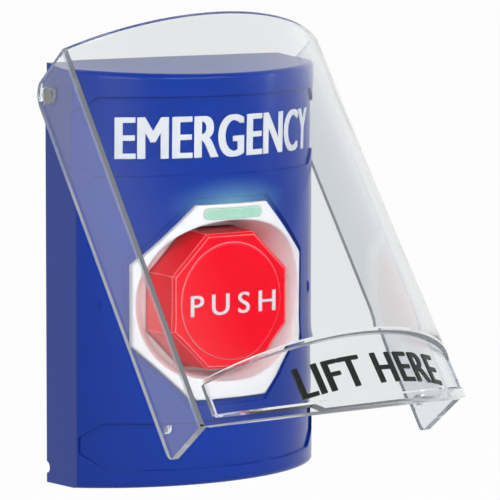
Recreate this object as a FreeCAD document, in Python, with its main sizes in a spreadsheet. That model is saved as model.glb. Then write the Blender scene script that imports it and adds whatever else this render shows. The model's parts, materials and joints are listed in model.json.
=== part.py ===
"""Emergency push button: a curved wall station with an octagonal button and a lift-up clear cover.

The wall is the plane y = 0, the front faces -Y, +X is right and +Z is up. The origin is the middle
of the station's back. A "depth" is a distance from the wall towards the front, so it is -y.
The cover is drawn closed about its hinge axis and is then swung to the lifted pose by its Placement.
"""
import FreeCAD, Part
import math
import os

import Sketcher
from FreeCAD import Placement, Rotation, Vector

os.makedirs("parts", exist_ok=True)
doc = FreeCAD.newDocument("EmergencyPushButton")

# The driving dimensions in millimetres, with angles in degrees.
sheet = doc.addObject("Spreadsheet::Sheet", "Sizes")
DIMENSIONS = (
    ("HousingWidth", 82.0, "housing, side face to side face"),
    ("HousingHeight", 121.0, "housing, over its front corners"),
    ("SideDepth", 17.9, "wall to the upright front corners"),
    ("FrontBulge", 19.4, "rise of the curved front over its corners"),
    ("HousingWall", 2.6, "housing moulding thickness"),
    ("TopSlope", 1.4, "rise of the top face from front corner to wall"),
    ("BottomSlope", 1.0, "fall of the bottom face from front corner to wall"),
    ("CornerRound", 1.6, "outer edge radius of the housing"),
    ("RecessDepth", 0.7, "depth of the sunk panels and of the bezel border"),
    ("LegendHeight", 22.5, "upper panel, for the legend"),
    ("LegendWidth", 82.6, "upper panel width, out through the front corners"),
    ("LegendDrop", 7.7, "housing top edge to the upper panel"),
    ("PlateHeight", 13.7, "lower blank panel"),
    ("PlateWidth", 81.4, "lower panel width"),
    ("PlateRise", 5.8, "housing bottom edge to the lower panel"),
    ("PanelChamfer", 4.4, "corner cut of both panels, up and down"),
    ("PanelRun", 5.0, "corner cut of both panels, sideways"),
    ("NotchRadius", 1.7, "pry notch in the rear edge of each side"),
    ("NotchRise", 3.5, "notch centre over the bottom edge"),
    ("ButtonDrop", 6.5, "button axis under the middle of the housing"),
    ("BezelFlats", 56.4, "bezel over its flats"),
    ("BezelProud", 0.7, "bezel front over the housing front"),
    ("BezelGap", 0.15, "gap round the bezel in the housing opening"),
    ("BorderWidth", 1.9, "sunk border round the bezel"),
    ("BowlWidth", 72.0, "bowl, left to right, over the bezel's front"),
    ("BowlHeight", 47.6, "bowl, top to bottom, over the bezel's front"),
    ("BowlDepth", 12.8, "middle of the housing front back to the bowl floor"),
    ("BowlFloorWidth", 44.4, "bowl floor diameter"),
    ("FloorThickness", 2.5, "bowl floor"),
    ("StrokeSpare", 0.5, "button flange over the switch carrier at full stroke"),
    ("CarrierThickness", 3.0, "switch carrier plate"),
    ("ButtonInset", 0.8, "middle of the housing front back to the button face"),
    ("ButtonFlats", 39.1, "button face over its flats"),
    ("ButtonTaper", 1.0, "growth of the button over its flats, face to bowl floor"),
    ("ButtonGap", 0.4, "gap round the button in the bowl floor"),
    ("ButtonWall", 2.2, "button skirt and face thickness"),
    ("ButtonBevel", 0.8, "edge bevel of the button face"),
    ("DiscRadius", 16.9, "round raised field on the button face"),
    ("DiscRise", 0.5, "height of that field"),
    ("FlangeWidth", 1.9, "retaining flange round the button skirt"),
    ("FlangeThickness", 1.7, "retaining flange"),
    ("SeatGap", 0.3, "gap of a moving stop from its seat"),
    ("ButtonTravel", 4.0, "stroke of the button"),
    ("StemRadius", 4.0, "plunger stem"),
    ("StemTail", 3.5, "plunger stem behind the switch carrier"),
    ("FitGap", 0.05, "radial clearance of a running or pressed pin"),
    ("GuideWall", 3.0, "wall of the stem guide and of the button boss"),
    ("GuideLength", 5.5, "stem guide in front of the carrier"),
    ("SpringRadius", 9.3, "coil centre radius of the return spring"),
    ("SpringWire", 0.65, "wire radius of the return spring"),
    ("SpringTurns", 4.0, "free coils of the return spring"),
    ("PlungerRadius", 2.4, "contact plunger"),
    ("PlungerOffset", 14.2, "contact plunger axis from the button axis"),
    ("ContactWidth", 18.0, "contact block, left to right"),
    ("ContactHeight", 29.0, "contact block, top to bottom"),
    ("ContactRear", 2.6, "wall to the rear of the contact blocks"),
    ("TerminalPitch", 19.0, "between the two terminals of a block"),
    ("ScrewRadius", 1.5, "screw shank"),
    ("HeadRadius", 2.8, "screw head"),
    ("HeadHeight", 1.6, "screw head"),
    ("PostWall", 2.2, "wall round the carrier screws"),
    ("PusherThickness", 2.0, "pusher ring"),
    ("WindowWidth", 19.5, "lamp window, left to right"),
    ("WindowHeight", 3.0, "lamp window, top to bottom"),
    ("WindowInset", 1.2, "bezel top edge to the window"),
    ("LampBoardInset", 11.7, "middle of the housing front back to the lamp board's rear"),
    ("LampBoardThickness", 1.2, "lamp board"),
    ("LampPitch", 6.5, "between lamps"),
    ("BackThickness", 2.0, "back plate"),
    ("BackGap", 0.3, "gap of the back plate in the housing"),
    ("BoxPitch", 83.3, "between the two wall box screws"),
    ("BoxHoleRadius", 2.2, "wall box screw holes"),
    ("BackWindowWidth", 56.0, "cable window in the back plate"),
    ("BackWindowHeight", 58.0, "cable window in the back plate"),
    ("LockScrewInset", 17.0, "housing side face to the lock screws"),
    ("LugDepth", 12.0, "wall to the front of the lock lugs"),
    ("LugWidth", 8.0, "lock lugs, left to right"),
    ("LugHeight", 6.0, "lock lugs, up and down"),
    ("HingeDepth", 6.3, "wall to the hinge axis"),
    ("HingeDrop", 7.7, "housing top edge down to the hinge axis"),
    ("HingeRadius", 2.5, "hinge pin"),
    ("HingeReach", 5.4, "hinge pin past the housing side face"),
    ("HingePad", 0.5, "depth of the hinge rebate in the housing side"),
    ("HingePadDepth", 9.0, "wall to the front of the hinge rebate"),
    ("LiftAngle", 37.6, "cover lift in the stored pose"),
    ("CoverGap", 0.5, "gap between the housing's sides and the cover's side walls"),
    ("CoverWall", 2.4, "cover moulding thickness"),
    ("CoverRearGap", 0.4, "wall to the rear edge of a side wall, cover closed"),
    ("CoverTop", 5.65, "hinge axis up to the cover's top edge"),
    ("CoverTopFall", 1.9, "fall of the top edge over the sheet's own rise"),
    ("CoverOverhang", 3.4, "housing bottom edge down to the end of a side wall, cover closed"),
    ("TopCornerSpace", 4.0, "sheet's corner over the housing's corner, at the top"),
    ("TopRise", 19.2, "rise of the curved sheet at the top"),
    ("LowCornerSpace", 2.5, "sheet's corner over the housing's corner, at the lowest point"),
    ("LowFrontSpace", 8.9, "rise of the sheet over the rise of the front, at the lowest point"),
    ("ChinFall", 12.6, "fall of the lower edge over the sheet's own rise"),
    ("LedgeRise", 10.3, "end of a side wall up to the finger ledge"),
    ("LedgeMargin", 2.6, "sheet corner to the end of the finger recess"),
    ("LedgeDepth", 2.4, "finger recess, depth in the middle"),
    ("LedgeEndDepth", 1.2, "finger recess, depth at its two ends"),
    ("RimHeight", 3.0, "rim under the finger recess"),
    ("SealRadius", 1.1, "seal hole in each side wall"),
    ("SealRise", 7.6, "side wall end up to the seal hole"),
    ("SealInset", 4.4, "rear edge forward to the seal hole"),
)
for row, (alias, number, note) in enumerate(DIMENSIONS, start=1):
    sheet.set(f"A{row}", alias)
    sheet.set(f"B{row}", str(number))
    sheet.set(f"C{row}", note)
    sheet.setAlias(f"B{row}", alias)
doc.recompute()

# Half the side of a regular octagon, as a share of half its width over the flats.
OCTAGON = math.sqrt(2.0) - 1.0


class Size:
    """A length that carries both its number and the sheet formula that drives it."""

    def __init__(self, number, formula=None):
        self.number = float(number)
        self.formula = formula if formula else repr(float(number))

    def __add__(self, other):
        other = as_size(other)
        return Size(self.number + other.number, f"({self.formula} + {other.formula})")

    def __sub__(self, other):
        other = as_size(other)
        return Size(self.number - other.number, f"({self.formula} - {other.formula})")

    def __mul__(self, other):
        other = as_size(other)
        return Size(self.number * other.number, f"({self.formula} * {other.formula})")

    def __truediv__(self, other):
        other = as_size(other)
        return Size(self.number / other.number, f"({self.formula} / {other.formula})")

    def __radd__(self, other):
        return as_size(other) + self

    def __rsub__(self, other):
        return as_size(other) - self

    def __rmul__(self, other):
        return as_size(other) * self

    def __neg__(self):
        return Size(-self.number, f"(-1 * {self.formula})")


def as_size(value):
    """Plain numbers join in formulas as constants."""
    return value if isinstance(value, Size) else Size(value)


def root(value):
    """The square root of a size."""
    return Size(math.sqrt(value.number), f"sqrt({value.formula})")


def size(alias):
    """One driving dimension from the sheet."""
    return Size(sheet.get(alias), f"Sizes.{alias}")


def bind(item, prop, value):
    """Drive one property of a document object by a size."""
    item.setExpression(prop, as_size(value).formula)


def labelled(item, name):
    """Give the finished piece the name of its node."""
    item.Label = name
    return item


def place(item, x=0.0, y=0.0, z=0.0, axis=None, angle=0.0):
    """Put an object at a point given by sizes, turned by a fixed angle about an axis."""
    turn = Rotation(axis, angle) if axis else Rotation()
    item.Placement = Placement(Vector(0, 0, 0), turn)
    for name, value in (("x", x), ("y", y), ("z", z)):
        bind(item, f"Placement.Base.{name}", value)
    return item


# Sketches

PLANES = {"plan": "XY_Plane", "front": "XZ_Plane", "side": "YZ_Plane"}


def sketch_on(body, name, view, offset=0.0):
    """A sketch in plan, front or side view; a front view's offset is its depth from the wall."""
    sketch = body.newObject("Sketcher::SketchObject", name)
    plane = [item for item in body.Origin.OriginFeatures if item.Role == PLANES[view]][0]
    sketch.AttachmentSupport = [(plane, "")]
    sketch.MapMode = "FlatFace"
    bind(sketch, "AttachmentOffset.Base.z", offset)
    return sketch


def hold_point(sketch, line, end, u, v):
    """Tie a point of a sketch to the sketch origin by two driven distances."""
    for kind, value in (("DistanceX", u), ("DistanceY", v)):
        value = as_size(value)
        index = sketch.addConstraint(Sketcher.Constraint(kind, -1, 1, line, end, value.number))
        sketch.setExpression(f"Constraints[{index}]", value.formula)


def arc_between(start, end, radius, clockwise):
    """The short arc from start to end; the sketcher keeps arcs anticlockwise."""
    if clockwise:
        start, end = end, start
    chord = end - start
    side = Vector(-chord.y, chord.x, 0).normalize()
    centre = (start + end) * 0.5 + side * math.sqrt(max(0.0, radius ** 2 - (chord.Length / 2) ** 2))
    first = math.atan2(start.y - centre.y, start.x - centre.x)
    last = math.atan2(end.y - centre.y, end.x - centre.x)
    return Part.ArcOfCircle(Part.Circle(centre, Vector(0, 0, 1), radius), first, last)


def outline(sketch, corners):
    """A closed outline. A corner is (u, v), or (u, v, radius, "cw" or "ccw") where an arc leaves it."""
    corners = [tuple(as_size(item) if position < 3 else item for position, item in enumerate(corner))
               for corner in corners]
    count = len(corners)
    first = sketch.GeometryCount
    ends = []
    for index, corner in enumerate(corners):
        following = corners[(index + 1) % count]
        start = Vector(corner[0].number, corner[1].number, 0)
        end = Vector(following[0].number, following[1].number, 0)
        if len(corner) == 2:
            sketch.addGeometry(Part.LineSegment(start, end))
            ends.append((1, 2))
            continue
        clockwise = corner[3] == "cw"
        sketch.addGeometry(arc_between(start, end, corner[2].number, clockwise))
        ends.append((2, 1) if clockwise else (1, 2))
        held = sketch.addConstraint(Sketcher.Constraint("Radius", first + index, corner[2].number))
        sketch.setExpression(f"Constraints[{held}]", corner[2].formula)
    for index, corner in enumerate(corners):
        line = first + index
        hold_point(sketch, line, ends[index][0], corner[0], corner[1])
        before = (index - 1) % count
        sketch.addConstraint(
            Sketcher.Constraint("Coincident", first + before, ends[before][1], line, ends[index][0]))
    return sketch


def circle(sketch, u, v, radius):
    """A circle driven by its centre and radius."""
    radius = as_size(radius)
    centre = Vector(as_size(u).number, as_size(v).number, 0)
    index = sketch.addGeometry(Part.Circle(centre, Vector(0, 0, 1), radius.number))
    held = sketch.addConstraint(Sketcher.Constraint("Radius", index, radius.number))
    sketch.setExpression(f"Constraints[{held}]", radius.formula)
    hold_point(sketch, index, 3, u, v)
    return sketch


def octagon(sketch, flats, v):
    """A regular octagon over its flats, centred on the middle line at height v."""
    reach = flats / 2
    half = reach * OCTAGON
    return outline(sketch, (
        (-half, v + reach), (-reach, v + half), (-reach, v - half), (-half, v - reach),
        (half, v - reach), (reach, v - half), (reach, v + half), (half, v + reach)))


def rectangle(sketch, left, low, right, high):
    """An upright rectangle."""
    return outline(sketch, ((left, low), (right, low), (right, high), (left, high)))


def slot(sketch, u, v, length, radius):
    """A level slot with round ends, centred on a point."""
    reach = as_size(length) / 2 - radius
    left = sketch.GeometryCount
    for side in (-1, 1):
        middle = as_size(u + side * reach)
        centre = Vector(middle.number, as_size(v).number, 0)
        start = -side * math.pi / 2 if side > 0 else math.pi / 2
        end = sketch.addGeometry(Part.ArcOfCircle(
            Part.Circle(centre, Vector(0, 0, 1), as_size(radius).number), start, start + math.pi))
        held = sketch.addConstraint(Sketcher.Constraint("Radius", end, as_size(radius).number))
        sketch.setExpression(f"Constraints[{held}]", as_size(radius).formula)
        hold_point(sketch, end, 3, middle, v)
        for tip_end in (1, 2):
            sketch.addConstraint(Sketcher.Constraint("Vertical", end, tip_end, end, 3))
    for left_end, right_end, level in ((1, 2, radius), (2, 1, -as_size(radius))):
        height = (v + as_size(level)).number
        line = sketch.addGeometry(Part.LineSegment(
            Vector((u - reach).number, height, 0), Vector((u + reach).number, height, 0)))
        sketch.addConstraint(Sketcher.Constraint("Coincident", line, 1, left, left_end))
        sketch.addConstraint(Sketcher.Constraint("Coincident", line, 2, left + 1, right_end))
    return sketch


def cut_panel(sketch, width, low, high):
    """A panel with four cut corners."""
    reach = width / 2
    run = size("PanelRun")
    chamfer = size("PanelChamfer")
    return outline(sketch, (
        (-reach + run, low), (reach - run, low), (reach, low + chamfer), (reach, high - chamfer),
        (reach - run, high), (-reach + run, high), (-reach, high - chamfer), (-reach, low + chamfer)))


# Features

def new_body(name):
    """A body for one piece, or for one stage of it."""
    return doc.addObject("PartDesign::Body", name)


def pad(body, sketch, length, name):
    """Raise a sketch: upwards from a plan, forwards from a front view."""
    feature = body.newObject("PartDesign::Pad", name)
    feature.Profile = sketch
    bind(feature, "Length", length)
    doc.recompute()
    return feature


def pocket(body, sketch, length, name, forward=False):
    """Cut a sketch into the body, to the rear unless told otherwise; no length cuts both ways."""
    before = body.Shape.Volume
    feature = body.newObject("PartDesign::Pocket", name)
    feature.Profile = sketch
    if length is None:
        feature.Type = "ThroughAll"
        feature.SideType = "Symmetric"
    else:
        bind(feature, "Length", length)
        feature.Reversed = forward
    doc.recompute()
    if body.Shape.Volume > before - 1e-6:
        raise RuntimeError(f"{name} cuts nothing")
    return feature


def fillet(body, radius, name, wanted):
    """Round the edges of the body that the test picks."""
    feature = body.newObject("PartDesign::Fillet", name)
    base = body.Group[-2]
    picked = [f"Edge{number}" for number, edge in enumerate(base.Shape.Edges, start=1) if wanted(edge)]
    feature.Base = (base, picked)
    bind(feature, "Radius", radius)
    doc.recompute()
    return feature


def boolean(kind, name, base, tool):
    """A cut or a common of two objects."""
    result = doc.addObject(kind, name)
    result.Base = base
    result.Tool = tool
    return result


def fuse(name, *items):
    """Several objects joined into one."""
    result = doc.addObject("Part::MultiFuse", name)
    result.Shapes = list(items)
    result.Refine = True
    return result


def rod(name, radius, length, x=0.0, depth=0.0, z=0.0):
    """A round rod that runs forwards from a depth."""
    item = doc.addObject("Part::Cylinder", name)
    bind(item, "Radius", radius)
    bind(item, "Height", length)
    return place(item, x, -as_size(depth), z, Vector(1, 0, 0), 90)


def along(axis, value):
    """Whether an edge runs along an axis with its middle at a coordinate test."""
    def test(edge):
        direction = edge.Vertexes[-1].Point - edge.Vertexes[0].Point
        if direction.Length < 1e-6:
            return False
        return abs(direction.normalize().dot(axis)) > 0.999 and value(edge.CenterOfMass)
    return test


# Sizes that several pieces share

half_width = size("HousingWidth") / 2
half_height = size("HousingHeight") / 2
bulge = size("FrontBulge")
side_depth = size("SideDepth")
front_depth = side_depth + bulge
front_radius = (half_width * half_width + bulge * bulge) / (2 * bulge)
curve_centre = front_depth - front_radius
wall = size("HousingWall")
hinge_z = half_height - size("HingeDrop")
button_z = -size("ButtonDrop")
gap = size("FitGap")
bezel_flats = size("BezelFlats")
bezel_reach = bezel_flats / 2
floor_front = front_depth - size("BowlDepth")
floor_rear = floor_front - size("FloorThickness")
flange_front = floor_rear - size("SeatGap")
flange_rear = flange_front - size("FlangeThickness")
carrier_front = flange_rear - size("ButtonTravel") - size("StrokeSpare")
carrier_rear = carrier_front - size("CarrierThickness")
skirt_flats = size("ButtonFlats") + size("ButtonTaper")
screw = size("ScrewRadius")
screw_hole = screw + gap
inner_radius = front_radius - wall


def front_cylinder(name, radius):
    """An upright cylinder about the centre of the curved front."""
    item = doc.addObject("Part::Cylinder", name)
    bind(item, "Radius", radius)
    bind(item, "Height", size("HousingHeight") * 2)
    return place(item, 0, -curve_centre, -size("HousingHeight"))


def front_block(name, draw, depth=0.0):
    """A prism that runs forwards from a depth, out through the curved front."""
    body = new_body(name)
    pad(body, draw(sketch_on(body, f"{name}_view", "front", depth)), front_depth * 1.5, f"{name}_run")
    return body


# Housing

def housing_profile(sketch, inset, radius):
    """The plan of the housing: flat back and sides, and a curved front."""
    side = half_width - inset
    corner = curve_centre + root(radius * radius - side * side)
    return outline(sketch, (
        (-side, 0), (side, 0), (side, -corner, radius, "cw"), (-side, -corner)))


shell = new_body("housing_shell")
pad(shell, housing_profile(
    sketch_on(shell, "housing_plan", "plan", -half_height - size("BottomSlope")), 0, front_radius),
    size("HousingHeight") + size("TopSlope") + size("BottomSlope"), "housing_block")

top_edge = half_height + size("TopSlope")
bottom_edge = -half_height - size("BottomSlope")
beyond = front_depth + 10
slope_cut = sketch_on(shell, "top_slope_view", "side")
outline(slope_cut, (
    (0, top_edge), (-beyond, top_edge), (-beyond, top_edge - size("TopSlope") / side_depth * beyond)))
pocket(shell, slope_cut, None, "top_slope")
slope_cut = sketch_on(shell, "bottom_slope_view", "side")
outline(slope_cut, (
    (0, bottom_edge), (-beyond, bottom_edge + size("BottomSlope") / side_depth * beyond),
    (-beyond, bottom_edge)))
pocket(shell, slope_cut, None, "bottom_slope")


def outer_front_edge(edge):
    """The two upright front corners and the curved top and bottom front edges."""
    middle = edge.valueAt((edge.FirstParameter + edge.LastParameter) / 2)
    upright = along(Vector(0, 0, 1), lambda point: point.y < -1)(edge)
    curved = edge.Curve.TypeId != "Part::GeomLine" and middle.y < -side_depth.number
    return upright or curved


fillet(shell, size("CornerRound"), "housing_round", outer_front_edge)
cavity = housing_profile(
    sketch_on(shell, "cavity_plan", "plan", -half_height + wall + size("BottomSlope")), wall, inner_radius)
pocket(shell, cavity, size("HousingHeight") - 2 * wall - size("TopSlope") - size("BottomSlope"),
       "cavity", forward=True)
notch = sketch_on(shell, "notch_view", "side")
circle(notch, 0, -half_height + size("NotchRise"), size("NotchRadius"))
pocket(shell, notch, None, "pry_notches")

# The sunk panels and border follow the curve: a prism through a thin layer of the front.
sunk_layer = boolean("Part::Cut", "sunk_layer", front_cylinder("layer_outside", front_radius + 6),
                     front_cylinder("layer_inside", front_radius - size("RecessDepth")))
legend_top = half_height - size("LegendDrop")
legend_low = legend_top - size("LegendHeight")
plate_low = -half_height + size("PlateRise")
panels = fuse(
    "panel_prisms",
    front_block("legend_prism", lambda view: cut_panel(
        view, size("LegendWidth"), legend_low, legend_top)),
    front_block("plate_prism", lambda view: cut_panel(
        view, size("PlateWidth"), plate_low, plate_low + size("PlateHeight"))),
    front_block("border_prism", lambda view: octagon(
        view, bezel_flats + 2 * size("BorderWidth"), button_z)))
sunk_panels = boolean("Part::Common", "sunk_panels", sunk_layer, panels)
bezel_opening = front_block(
    "bezel_opening", lambda view: octagon(view, bezel_flats + 2 * size("BezelGap"), button_z), carrier_front)

# Bosses inside the housing: two hinge bearings, and two posts that hold the switch carrier.
bearing_reach = size("HingeReach") - wall
bearings = []
for side, name in ((-1, "left"), (1, "right")):
    bearing = doc.addObject("Part::Cylinder", f"bearing_{name}")
    bind(bearing, "Radius", size("HingeDepth") - size("BackThickness") - size("BackGap"))
    bind(bearing, "Height", bearing_reach + wall / 2)
    place(bearing, side * (half_width - wall / 2), -size("HingeDepth"), hinge_z,
          Vector(0, 1, 0), -90 * side)
    bearings.append(bearing)
post = screw + size("PostWall")
post_x = half_width - wall - 1.7 - post
post_front = curve_centre + root(inner_radius * inner_radius - post_x * post_x) + 0.8
posts = [rod(f"post_{name}", post, post_front - carrier_front, side * post_x, carrier_front, button_z)
         for side, name in ((-1, "left"), (1, "right"))]

hinge_bore = doc.addObject("Part::Cylinder", "hinge_bore")
bind(hinge_bore, "Radius", size("HingeRadius") + gap)
bind(hinge_bore, "Height", size("HousingWidth") + 10)
place(hinge_bore, -half_width - 5, -size("HingeDepth"), hinge_z, Vector(0, 1, 0), 90)
rebates = []
for side, name in ((-1, "left"), (1, "right")):
    rebate = doc.addObject("Part::Box", f"hinge_rebate_{name}")
    bind(rebate, "Length", 2 * size("HingePad"))
    bind(rebate, "Width", size("HingePadDepth") + 2)
    bind(rebate, "Height", half_height + 10 - hinge_z)
    place(rebate, side * half_width - size("HingePad"), -size("HingePadDepth"), hinge_z)
    rebates.append(rebate)
post_holes = [rod(f"post_hole_{name}", screw_hole, 5.5, side * post_x, carrier_front - 1, button_z)
              for side, name in ((-1, "left"), (1, "right"))]
lock_depth = size("LugDepth") - 4
lock_x = half_width - size("LockScrewInset")
lock_holes = []
for side, name in ((-1, "left"), (1, "right")):
    hole = doc.addObject("Part::Cylinder", f"lock_hole_{name}")
    bind(hole, "Radius", screw + 0.2)
    bind(hole, "Height", wall + size("BottomSlope") + 6)
    place(hole, side * lock_x, -lock_depth, bottom_edge - 4)
    lock_holes.append(hole)
housing_solid = fuse("housing_solid", shell, *bearings, *posts)
housing_cuts = fuse("housing_cuts", sunk_panels, bezel_opening, hinge_bore, *rebates, *post_holes, *lock_holes)
front_housing = labelled(boolean("Part::Cut", "housing_moulding", housing_solid, housing_cuts), "front_housing")

# Bezel: an octagonal block whose front follows the curve, with an oval bowl round the button.
bezel_blank = boolean(
    "Part::Common", "bezel_blank",
    front_block("bezel_block", lambda view: octagon(view, bezel_flats, button_z), carrier_front),
    front_cylinder("bezel_front", front_radius + size("BezelProud")))


def ellipse_wire(name, width, height, depth):
    """An oval ring in front view; Part draws the long axis first, so the bowl stays wider than tall."""
    item = doc.addObject("Part::Ellipse", name)
    bind(item, "MajorRadius", width / 2)
    bind(item, "MinorRadius", height / 2)
    return place(item, 0, -as_size(depth), button_z, Vector(1, 0, 0), 90)


bowl = doc.addObject("Part::Loft", "bowl_space")
bowl.Sections = [
    ellipse_wire("bowl_floor", size("BowlFloorWidth") + 0.01, size("BowlFloorWidth"), floor_front),
    ellipse_wire("bowl_mouth", size("BowlWidth"), size("BowlHeight"), front_depth + size("BezelProud") + 2)]
bowl.Solid = True
bowl.Ruled = True
chamber_flats = skirt_flats + 2 * (size("FlangeWidth") + size("ButtonGap") + 0.6)
button_hole = front_block(
    "button_hole", lambda view: octagon(view, skirt_flats + 2 * size("ButtonGap"), button_z), floor_rear - 1)
chamber = new_body("flange_chamber")
pad(chamber, octagon(sketch_on(chamber, "chamber_view", "front", carrier_front - 1), chamber_flats, button_z),
    floor_rear - carrier_front + 1, "chamber_run")
window_z = button_z + bezel_reach - size("WindowInset") - size("WindowHeight") / 2
board_rear = front_depth - size("LampBoardInset")
board_front = board_rear + size("LampBoardThickness")
window_cut = front_block(
    "window_cut", lambda view: slot(view, 0, window_z, size("WindowWidth") + 2 * gap,
                                    size("WindowHeight") / 2 + gap), board_front - 1)
board_height = size("WindowHeight") + 0.8
board_well = new_body("board_well")
pad(board_well, rectangle(
    sketch_on(board_well, "well_view", "front", carrier_front - 1),
    -size("WindowWidth") / 2 - 1.2, window_z - board_height / 2 - 0.1,
    size("WindowWidth") / 2 + 1.2, window_z + board_height / 2 + 0.1),
    board_front - carrier_front + 1, "well_run")
rim_screw = (chamber_flats / 2 + bezel_reach) / 2 * math.sqrt(0.5)
rim_corners = [(side, level) for side in (-1, 1) for level in (-1, 1)]
rim_holes = [rod(f"rim_hole_{number}", screw_hole, 7.5, side * rim_screw, carrier_front - 1,
                 button_z + level * rim_screw)
             for number, (side, level) in enumerate(rim_corners, start=1)]
bezel = labelled(boolean(
    "Part::Cut", "bezel_moulding", bezel_blank,
    fuse("bezel_cuts", bowl, button_hole, chamber, window_cut, board_well, *rim_holes)), "bezel")

# Lamp window and its board.
lens_blank = front_block(
    "lens_block", lambda view: slot(view, 0, window_z, size("WindowWidth"), size("WindowHeight") / 2),
    board_front + 1.5)
status_lens = labelled(boolean(
    "Part::Common", "lens_light_pipe", lens_blank,
    front_cylinder("lens_front", front_radius + size("BezelProud") + 0.3)), "status_lens")
lamp_board = new_body("lamp_board_body")
pad(lamp_board, rectangle(
    sketch_on(lamp_board, "lamp_board_view", "front", board_rear),
    -size("WindowWidth") / 2 - 1, window_z - board_height / 2,
    size("WindowWidth") / 2 + 1, window_z + board_height / 2), size("LampBoardThickness"), "lamp_board_run")
labelled(lamp_board, "lamp_board")
lamps = []
for number in (-1, 0, 1):
    lamp = doc.addObject("Part::Box", f"lamp_chip_{number + 2}")
    bind(lamp, "Length", 2.0)
    bind(lamp, "Width", 1.2)
    bind(lamp, "Height", 1.6)
    place(lamp, number * size("LampPitch") - 1, -board_front - 1.2, window_z - 0.8)
    lamps.append(labelled(lamp, f"lamp_{number + 2}"))

# Button cap: a tapered octagonal cup with a raised round field, a boss for the stem and a flange.
cap = new_body("button_body")
face = front_depth - size("ButtonInset")
cap_run = face - floor_front
cap_pad = pad(cap, octagon(sketch_on(cap, "cap_face_view", "front", face), size("ButtonFlats"), button_z),
              cap_run, "cap_taper")
cap_pad.Reversed = True
taper = math.degrees(math.atan(size("ButtonTaper").number / 2 / cap_run.number))
cap_pad.setExpression("TaperAngle", f"atan({(size('ButtonTaper') / 2 / cap_run).formula})")
doc.recompute()


def face_rim(edge):
    """The eight edges round the button face."""
    return all(abs(vertex.Point.y + face.number) < 1e-4 for vertex in edge.Vertexes)


bevel = cap.newObject("PartDesign::Chamfer", "face_bevel")
bevel.Base = (cap_pad, [f"Edge{number}" for number, edge in enumerate(cap_pad.Shape.Edges, start=1)
                        if face_rim(edge)])
bind(bevel, "Size", size("ButtonBevel"))
doc.recompute()
pad(cap, octagon(sketch_on(cap, "skirt_view", "front", flange_rear), skirt_flats, button_z),
    floor_front - flange_rear, "skirt")
pad(cap, octagon(sketch_on(cap, "flange_view", "front", flange_rear),
                 skirt_flats + 2 * size("FlangeWidth"), button_z), size("FlangeThickness"), "flange")
pad(cap, circle(sketch_on(cap, "disc_view", "front", face - 0.5), 0, button_z, size("DiscRadius")),
    size("DiscRise") + 0.5, "raised_field")
fillet(cap, size("DiscRise") * 0.9, "field_round",
       lambda edge: edge.Curve.TypeId == "Part::GeomCircle"
       and abs(edge.CenterOfMass.y + (face + size("DiscRise")).number) < 1e-4)
hollow_flats = size("ButtonFlats") - 2 * size("ButtonWall")
cap_inner = face - size("ButtonWall") - 0.3
pocket(cap, octagon(sketch_on(cap, "hollow_view", "front", flange_rear), hollow_flats, button_z),
       cap_inner - flange_rear, "hollow", forward=True)
stem = size("StemRadius")
boss_length = size("GuideWall") + 5
pad(cap, circle(sketch_on(cap, "boss_view", "front", cap_inner - boss_length), 0, button_z,
                stem + size("GuideWall") - 1), boss_length + 0.5, "stem_boss")
pocket(cap, circle(sketch_on(cap, "boss_bore_view", "front", cap_inner - boss_length), 0, button_z, stem + gap),
       boss_length - 0.4, "boss_bore", forward=True)
button_cap = labelled(cap, "button_cap")

# Stem, its retaining ring, the pusher ring and the return spring.
stem_end = cap_inner - 0.6
stem_rear = carrier_rear - size("StemTail")
plunger_stem = labelled(rod("stem_rod", stem, stem_end - stem_rear, 0, stem_rear, button_z), "plunger_stem")
ring_front = carrier_rear - size("SeatGap")


def ring(name, outer, inner, thickness, depth):
    """A flat ring round the button axis."""
    body = new_body(name)
    view = sketch_on(body, f"{name}_view", "front", depth)
    circle(view, 0, button_z, outer)
    circle(view, 0, button_z, inner)
    pad(body, view, thickness, f"{name}_run")
    return body


stem_ring = labelled(ring("stem_ring_body", stem + 2, stem + gap, 1.0, ring_front - 1.0), "stem_ring")
pusher = new_body("pusher_body")
pusher_view = sketch_on(pusher, "pusher_view", "front", flange_rear)
octagon(pusher_view, hollow_flats - 2 * gap, button_z)
circle(pusher_view, 0, button_z, size("SpringRadius") + size("SpringWire") + 0.6)
pad(pusher, pusher_view, size("PusherThickness"), "pusher_run")
labelled(pusher, "pusher_ring")

coil_space = cap_inner - carrier_front - 2 * size("SpringWire") - 0.1
helix = doc.addObject("Part::Helix", "coil_path")
bind(helix, "Radius", size("SpringRadius"))
bind(helix, "Height", coil_space)
bind(helix, "Pitch", coil_space / size("SpringTurns"))
helix.SegmentLength = 1.0
wire = doc.addObject("Part::RegularPolygon", "coil_wire")
wire.Polygon = 8
bind(wire, "Circumradius", size("SpringWire"))
place(wire, size("SpringRadius"), 0, 0, Vector(1, 0, 0), 90)
coil = doc.addObject("Part::Sweep", "coil")
coil.Sections = [wire]
doc.recompute()
coil.Spine = (helix, [f"Edge{number}" for number in range(1, len(helix.Shape.Edges) + 1)])
coil.Solid = True
coil.Frenet = True
place(coil, 0, -(carrier_front + size("SpringWire") + 0.05), button_z, Vector(1, 0, 0), 90)
return_spring = labelled(coil, "return_spring")

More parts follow.
